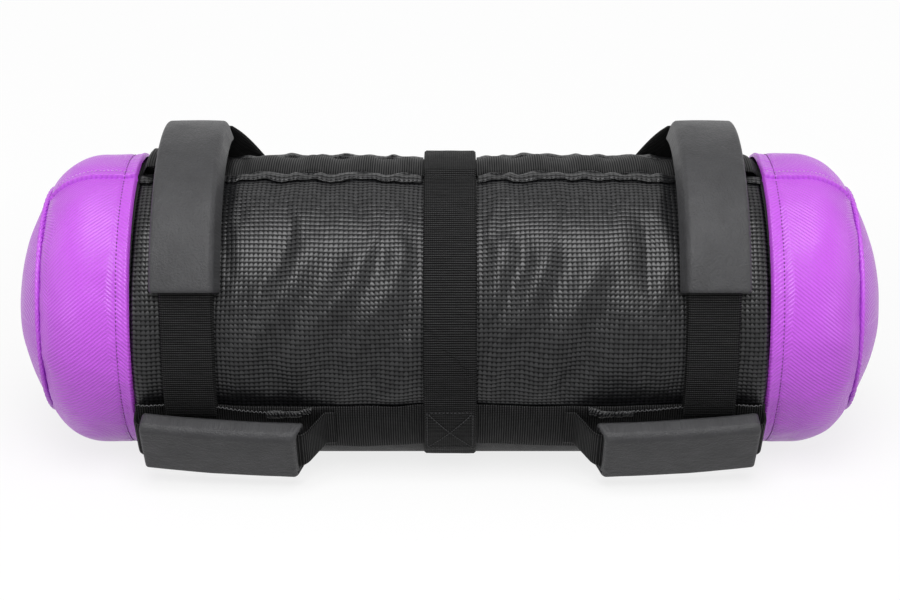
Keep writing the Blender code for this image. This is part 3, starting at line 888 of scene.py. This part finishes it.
def long_straps():
    """The three straps along the body: the top one is puffed and wavy."""
    x = np.linspace(-SEAM_X + 0.5 * MM, SEAM_X - 0.5 * MM, 300)
    across = np.linspace(-1.0, 1.0, 26)
    puffed = flat_section(across, LONG_HALF, 0.9 * MM * (1.0 - across**2))
    flat = band_section(LONG_HALF, 26)
    for name, angle, section, lift, relief_of, material in (
        ("top_strap", TOP_ANGLE, puffed, strap_lift(x), top_strap_waves, SMOOTH_WEBBING),
        ("front_lower_strap", LOWER_ANGLE, flat, 0.3 * MM, strap_wear, WEBBING),
        ("rear_lower_strap", 180.0 - LOWER_ANGLE, flat, 0.3 * MM, strap_wear, WEBBING),
    ):
        strap = laid_band(f"{name}_web", x, angle, lift, section, relief_of, lengthwise=True)
        dress(strap, material, name)


def crossing_lift(angle, *centres):
    """How far a strap has climbed over the long straps at centres, from 0 to 1."""
    past = np.min([np.abs(angle - centre) for centre in centres], 0) - LONG_HALF_ANGLE
    return 1.0 - smooth((past - 0.5) / 5.0)


def ring_straps():
    """The centre strap and the two side straps."""
    section = band_section(WEB_WIDTH / 2, 22)
    angle = np.linspace(CENTRE_START, 180.0 - CENTRE_START, 320)
    climb = crossing_lift(angle, TOP_ANGLE, LOWER_ANGLE, 180.0 - LOWER_ANGLE)
    lift = 1.0 * MM + OVER_STRAP * climb + 3.2 * MM * crossing_lift(angle, TOP_ANGLE)
    strap = laid_band("centre_strap_web", 0.0, angle, lift, section, centre_strap_wear)
    dress(strap, WEBBING, "centre_strap")
    start = LOWER_ANGLE + LONG_HALF_ANGLE - 1.0
    angle = np.linspace(start, 180.0 - start, 200)
    lift = 0.5 * MM + OVER_STRAP * crossing_lift(angle, TOP_ANGLE)
    for side, sign in SIDES.items():
        strap = laid_band(f"side_strap_web_{side}", sign * SIDE_X, angle, lift, section, strap_wear)
        dress(strap, WEBBING, f"side_strap_{side}")


def edge_bead(name, x, angle, half_width, height, base, material):
    """A flattened hem roll along the body, whose edge wanders."""
    turn = np.linspace(0.0, math.tau, 16, False)
    along = x[:, None] / MM
    swell = 1.0 + 0.12 * ripple(along / 2.2, 0.0, 4.0) + 0.12 * np.sin(along / 7.3)
    spot_angle = angle[:, None] + np.degrees(half_width * np.cos(turn) * swell / RADIUS)
    points = on_body(x[:, None], spot_angle, height * np.sin(turn) * swell + base)
    run = np.abs(x - x[0])[:, None]
    bead = grid(name, points, half_width * turn, run, swap=material == BASKET)
    dress(bead, material)


def hems():
    """The rolled hems along the top strap's edges and over the lower straps' upper edges."""
    for face in ("front", "rear"):
        for part, (low, high) in enumerate(((-SEAM_X + 1 * MM, -20 * MM), (20 * MM, SEAM_X - 1 * MM))):
            x = np.linspace(low, high, 260)
            wave = 0.5 * np.cos(math.tau * x / MM / WAVE_LENGTH) + 0.5 * np.sin(x / MM / 13.0)
            angle = on_face(face, 74.5 + wave * smooth((np.abs(x) / MM - 22.0) / 12.0))
            edge_bead(f"top_hem_{face}_{part}", x, angle, 6.4 * MM, 1.7 * MM, 0.9 * MM, BASKET)
        for side, way in SIDES.items():
            x = way * np.linspace(99 * MM, 131 * MM, 60)
            angle = on_face(face, -24.6 - 1.6 * smooth((np.abs(x) / MM - 100.0) / 10.0))
            edge_bead(f"low_hem_{face}_{side}", x, angle, 3.0 * MM, 1.8 * MM, 2.2 * MM, HEM)


def strap_threads():
    """Zig-zags along the lower straps' upper edges, and the centre strap's box and cross."""
    half_x, half_a = WEB_WIDTH / 2 - 2.6 * MM, LONG_HALF_ANGLE - 1.9
    corners = [(-half_x, -half_a), (half_x, -half_a), (half_x, half_a), (-half_x, half_a)]
    lines = [(0, 1), (1, 2), (2, 3), (3, 0), (0, 2), (1, 3)]
    for face in ("front", "rear"):
        for part, (low, high) in enumerate(((-224 * MM, -100 * MM), (100 * MM, 224 * MM))):
            x = np.arange(low, high, 1.5 * MM)
            zig = 0.45 * np.where(np.arange(len(x)) % 2, 1.0, -1.0)
            angle = on_face(face, -22.6 - 3.2 * smooth((210 * MM - np.abs(x)) / (110 * MM)) + zig)
            spots, out = on_body(x, angle, 2.9 * MM), out_of(angle[:-1])
            zigzag = thread_pieces(f"edge_thread_{face}_{part}", spots[:-1], spots[1:], out, 0.33 * MM, 0.2)
            dress(zigzag, GREY_THREAD)
        for index, line in enumerate(lines):
            (x0, a0), (x1, a1) = (corners[corner] for corner in line)
            angle = on_face(face, LOWER_ANGLE + np.linspace(a0, a1, 40))
            climb = crossing_lift(angle, LOWER_ANGLE, 180.0 - LOWER_ANGLE)
            spots = on_body(np.linspace(x0, x1, 40), angle, 1.0 * MM + OVER_STRAP * climb + WEB)
            name = f"box_thread_{face}_{index}"
            row = stitches(name, spots, out_of(angle), 2.8 * MM, 2.3 * MM, 0.42 * MM, 0.15)
            dress(row, BOX_THREAD)


# Handles

# Corner radii of the sleeves' sections in mm: right outer, left outer, left inner, right inner
ARCH_CORNERS = {"left": (3.6, 2.8, 3.0, 3.0), "right": (2.8, 3.6, 3.0, 3.0)}
# The same of the straight sleeves: upper outer, lower outer and two inner ones, mirrored at the rear
LOW_CORNERS = {"front": (5.8, 2.6, 3.0, 3.0), "rear": (2.6, 5.8, 3.0, 3.0)}
CORNER_POINTS = 9
CROWN = 0.5 * MM
ARCH_TAPER = 5.4 * MM
LOW_SLANT = 3.2 * MM
# Rows of a sleeve's end, in mm: how deep it lies, and how far in from the outside
SLEEVE_END = [
    (1.9, 4.9), (0.9, 4.8), (0.6, 4.5), (0.6, 3.4), (1.0, 3.1), (2.4, 3.0), (2.4, 2.4),
    (0.5, 2.2), (0.1, 1.9), (0.0, 1.5), (0.1, 1.1), (0.5, 0.6), (1.2, 0.2), (2.2, 0.0), (3.6, 0.0),
]


def rounded_box(half_width, half_thick, corners, taper):
    """A padded sleeve's section: a box with four round corners, narrower outside on one side."""
    points = []
    ways = ((1, 1), (-1, 1), (-1, -1), (1, -1))
    for index, ((way_x, way_y), corner) in enumerate(zip(ways, corners)):
        for k in range(CORNER_POINTS):
            turn = math.radians(90.0 * index + 90.0 * k / (CORNER_POINTS - 1))
            x = way_x * (half_width - corner) + corner * math.cos(turn)
            points.append((x, way_y * (half_thick - corner) + corner * math.sin(turn)))
        if index in (0, 2):
            end = -way_x * (half_width - corners[index + 1])
            points += [(x, way_y * half_thick) for x in np.linspace(points[-1][0], end, 13)[1:-1]]
    points = np.array(points)
    swell = CROWN * (1.0 - (points[:, 0] / half_width) ** 2)
    points[:, 1] += np.sign(points[:, 1]) * swell * (np.abs(points[:, 1]) > half_thick * 0.6)
    inner = np.maximum(points[:, 0] * np.sign(taper), 0.0) / half_width
    points[:, 0] -= taper * inner * np.clip(0.5 + 0.5 * points[:, 1] / half_thick, 0.0, 1.0)
    return points


def sleeve(name, centres, frames, corners, taper, slant):
    """A padded grip: a swept rounded box, with layered ends round the webbing's slot.

    taper narrows its outer face on one side, and slant cuts its last end back on the outside.
    """
    along = distances(centres)
    total = along[-1]
    half = np.array([GRIP_WIDTH / 2, GRIP_THICK / 2])
    slot_half = np.array([WEB_WIDTH / 2 + 0.8 * MM, 1.4 * MM])
    section = rounded_box(*half, [corner * MM for corner in corners], taper)
    slot = np.stack([section[:, 0] / half[0], np.sign(section[:, 1])], -1) * slot_half
    face = [(depth * MM, section * (half - pull * MM) / half) for depth, pull in SLEEVE_END]
    front = [(4.0 * MM, slot), (1.9 * MM, slot)] + face
    middle = np.linspace(face[-1][0], total - face[-1][0], max(8, int(total / (3 * MM))))[1:-1]
    rows = front + [(at, section) for at in middle] + [(total - at, shape) for at, shape in front[::-1]]
    points = []
    for at, shape in rows:
        centre, side, up = (at_lengths(at, along, values) for values in (centres, *frames))
        give = 0.18 * MM * ripple(at / (11 * MM), section[:, :1] / (9 * MM), total * 10.0)
        give = give * smooth(min(at, total - at) / (12 * MM)) * np.sign(shape[:, 1:])
        tangent = np.cross(side, up)
        tangent = tangent * np.sign(tangent @ (centres[-1] - centres[0]))
        cut = -slant * smooth((at - total + 14 * MM) / (12 * MM)) * (0.35 + shape[:, 1:] / half[1])
        points.append(centre + side * shape[:, :1] + up * (shape[:, 1:] + give) + tangent * cut)
    points = np.array(points)
    around = distances(np.concatenate([section, section[:1]]))[:-1]
    grip = grid(name, points, around, distances(points[:, 0])[:, None])
    return grip


def frames_along(points, side, turn_out=True):
    """Sides and ups along a path, with the ups turned away from the bag's axis."""
    ups = unit(np.cross(unit(np.gradient(points, axis=0)), side))
    if turn_out:
        out = (points - [0.0, 0.0, AXIS_Z]) * [0.0, 1.0, 1.0]
        ups = np.where((ups * out).sum(1)[:, None] < 0.0, -ups, ups)
    return np.broadcast_to(side, points.shape), ups


def grip_and_core(name, path, frames, web_half, corners, taper=0.0, slant=0.0):
    """A handle's padded sleeve and the webbing in it, whose section it returns."""
    grip = sleeve(f"{name}_sleeve", path, frames, corners, taper, slant)
    dress(grip, LEATHER, f"{name}_grip", name)
    section = band_section(web_half, 16) - [0.0, WEB / 2]
    core = swept(f"{name}_core_web", path, frames, section)
    dress(core, WEBBING, f"{name}_core", name)
    return section


def webbing_leg(name, part, path, frames, section):
    """A leg of webbing that bends between its foot on the bag and its handle's mouth."""
    leg = swept(f"{name}_{part}_web", path, frames, section)
    leg.data.materials.append(WEBBING)
    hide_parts(f"{name}_{part}_leg")
    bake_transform(leg)


def arc_points(angle, radius, x):
    """Points at angles round the bag's axis."""
    radius, x = np.reshape(radius, (-1, 1)), np.reshape(x, (-1, 1))
    return out_of(angle) * radius + ALONG_X * x + [0.0, 0.0, AXIS_Z]


def touch_angle(point, way):
    """Where taut webbing from a point meets the straps, before or past it."""
    height = point[2] - AXIS_Z
    turn = math.atan2(height, -point[1]) + way * math.acos(ON_STRAP / math.hypot(height, point[1]))
    return math.degrees(turn)


def arched_handle(side):
    """A grip over the front and top, on a straight leg and one that leans inwards."""
    sign = SIDES[side]
    x = sign * SIDE_X
    name = f"{side}_handle"
    angles = np.linspace(ARCH_START, ARCH_END, 60)
    share = (angles - ARCH_START) / (ARCH_END - ARCH_START)
    rise = ARCH_START_RISE + (ARCH_RISE - ARCH_START_RISE) * np.sin(math.pi / 2 * share)
    path = arc_points(angles, ON_STRAP + rise, x)
    frames, web_half = frames_along(path, ALONG_X), WEB_WIDTH / 2 - 0.4 * MM
    section = grip_and_core(name, path, frames, web_half, ARCH_CORNERS[side], taper=-sign * ARCH_TAPER)

    foot = arc_points(np.linspace(LEG_END_ANGLE, touch_angle(path[0], -1.0), 50), ON_STRAP, x)
    taut = np.linspace(foot[-1], path[0], 12)[1:]
    front = soften(np.concatenate([foot, taut, path[1:5]]))
    webbing_leg(name, "front", front, frames_along(front, ALONG_X), section)

    touch = touch_angle(path[-1], 1.0)
    foot = arc_points(np.linspace(touch, touch + 7.0, 10), ON_STRAP, x - sign * ARCH_LEAN)
    taut = np.linspace(path[-1], foot[0], 16)[:-1]
    bow = np.sin(np.linspace(0.0, math.pi, len(taut)) ** 0.8)[:, None]
    taut = taut + bow * out_of(touch - 10.0) * 3.0 * MM
    rear = soften(np.concatenate([path[-5:-1], taut, foot]))
    sides, ups = frames_along(rear, ALONG_X)
    share = np.linspace(0.0, 1.0, len(rear))[:, None]
    twist = sign * np.radians(21.0) * smooth((share - 0.12) / 0.1) * smooth((0.68 - share) / 0.4)
    turned = sides * np.cos(twist) - ups * np.sin(twist), ups * np.cos(twist) + sides * np.sin(twist)
    webbing_leg(name, "rear", rear, turned, section)


def low_handle(face, side):
    """A straight grip over a lower strap, on a short leg at the seam and a slanting one."""
    name = f"{face}_{side}_handle"
    angle = on_face(face, LOW_ANGLE)
    across = out_of(angle + 90.0)

    def place(x, rise):
        return arc_points(angle, ON_STRAP + rise, SIDES[side] * x)

    share = np.linspace(0.0, 1.0, 40)
    rise = LOW_OUTER_RISE + (LOW_INNER_RISE - LOW_OUTER_RISE) * share
    bow = LOW_BOW * 4.0 * share * (1.0 - share)
    path = place(LOW_OUTER_X - (LOW_OUTER_X - LOW_INNER_X) * share, rise + bow)
    frames = frames_along(path, across)
    section = grip_and_core(name, path, frames, LOW_WEB / 2 - 0.8 * MM, LOW_CORNERS[face], slant=LOW_SLANT)

    seam, back = SEAM_X - 1.3 * MM, LOW_INNER_X
    outer = [(seam - 1.5 * MM, LOW_OUTER_RISE * 0.93), (seam, LOW_OUTER_RISE * 0.6), (seam, -0.8 * MM)]
    inner = [(back - 4 * MM, LOW_INNER_RISE * 0.86), (back - 12 * MM, LOW_INNER_RISE * 0.30)]
    inner += [(back - 16 * MM, 0.1 * MM), (back - 23.5 * MM, -0.1 * MM)]
    for part, start, spots, count, foot in (
        ("outer", path[[4, 1, 0]], outer, 24, -1),
        ("inner", path[[-5, -2, -1]], inner, 36, -12),
    ):
        leg = np.concatenate([start, place(*np.transpose(spots))])
        leg = soften(resample(leg, count), 2)
        frames = frames_along(leg, across, turn_out=False)
        webbing_leg(name, part, leg, frames, section)


def hidden_filling():
    """Materials for the CAD pieces inside the bag, which stay as they are."""
    foam = plain_inside("inner_foam", (0.75, 0.74, 0.70))
    canvas = plain_inside("inner_canvas", (0.30, 0.27, 0.22))
    tape = plain_inside("inner_tape", (0.03, 0.03, 0.032))
    fillings = {"foam": foam, "end_pad": foam, "sand_sack": canvas, "seam_tape": tape}
    for name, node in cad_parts.items():
        for start, material in fillings.items():
            if name.startswith(start):
                node.material_slots[0].material = material


# Studio

def aimed(name, data, place, way):
    """Puts a camera or a light in its place, looking a way."""
    thing = bpy.data.objects.new(name, data)
    thing.location = place
    thing.rotation_mode = "QUATERNION"
    thing.rotation_quaternion = way.to_track_quat("-Z", "Y")
    bpy.context.scene.collection.objects.link(thing)
    return thing


def add_light(name, place, size, power):
    data = bpy.data.lights.new(name, "AREA")
    data.shape = "RECTANGLE"
    data.size, data.size_y = size
    data.energy = power
    aimed(name, data, place, Vector((0.0, 0.0, AXIS_Z)) - place)


def studio():
    scene = bpy.context.scene
    scene.view_settings.view_transform = "Standard"
    middle = Vector((0.0, 0.0, AXIS_Z))
    back, up = Vector(out_of(CAMERA_ELEVATION)), Vector(out_of(CAMERA_ELEVATION + 90.0))
    data = bpy.data.cameras.new("camera")
    data.lens = CAMERA_LENS
    data.sensor_width = 36.0
    scene.camera = aimed("camera", data, middle + up * AIM_ABOVE_AXIS + back * CAMERA_DISTANCE, -back)

    mesh = bpy.data.meshes.new("floor")
    corners = [(x * FLOOR_HALF, y * FLOOR_HALF, 0.0) for x, y in ((-1, -1), (1, -1), (1, 1), (-1, 1))]
    mesh.from_pydata(corners, [], [(0, 1, 2, 3)])
    mesh.materials.append(floor_material())
    floor = bpy.data.objects.new("floor", mesh)
    floor.location.z = -FLOOR_DROP
    scene.collection.objects.link(floor)

    add_light("key", middle + Vector(out_of(KEY_ELEVATION)) * KEY_DISTANCE, KEY_SIZE, KEY_POWER)
    for side, sign in SIDES.items():
        spot = Vector((sign * FILL_PLACE[0], *FILL_PLACE[1:]))
        add_light(f"fill_{side}", spot, FILL_SIZE, FILL_POWER)

    n = Nodes(bpy.data.worlds.new("world"))
    strength = n.remap(seen_ray(n), 0.0, 1.0, WORLD_STRENGTH, 1.0)
    n.fill(n.tree.nodes["Background"], {"Color": (1.0, 1.0, 1.0, 1.0), "Strength": strength})
    scene.world = n.owner


def seen_ray(n):
    """Is this ray one that shows the surface: straight, mirrored or through a clear piece?"""
    rays = n.new("LightPath").outputs
    seen = n.math("MAXIMUM", rays["Is Camera Ray"], rays["Is Glossy Ray"])
    return n.math("MAXIMUM", seen, rays["Is Transmission Ray"])


def floor_material():
    """White paper that keeps only a soft trace of the shadow."""
    n = Nodes(bpy.data.materials.new("floor_paper"))
    seen = seen_ray(n)
    shader = n.tree.nodes["Principled BSDF"]
    colour = n.mix(seen, (FLOOR_BOUNCE,) * 3, (FLOOR_COLOUR,) * 3)
    n.fill(shader, {"Base Color": colour, "Roughness": 0.9, "Specular IOR Level": 0.0})
    place = n.new("TexCoord").outputs["Object"]
    length = n.new("VectorMath", place, operation="LENGTH").outputs["Value"]
    away = n.remap(length, 0.25, 0.95, FLOOR_GLOW_NEAR, FLOOR_GLOW_FAR, steps="SMOOTHSTEP")
    glow = n.new("Emission", (1.0, 1.0, 1.0, 1.0)).outputs[0]
    mixed = n.new("MixShader", n.mul(seen, away), shader.outputs[0], glow)
    n.put(n.tree.nodes["Material Output"].inputs[0], mixed.outputs[0])
    return n.owner


studio()
body_cloth()
for side in SIDES:
    cap_cloth(side)
    rim_welt(side)
    cap_stitches(side)
long_straps()
ring_straps()
hems()
strap_threads()
for side in SIDES:
    arched_handle(side)
    for face in ("front", "rear"):
        low_handle(face, side)
hidden_filling()
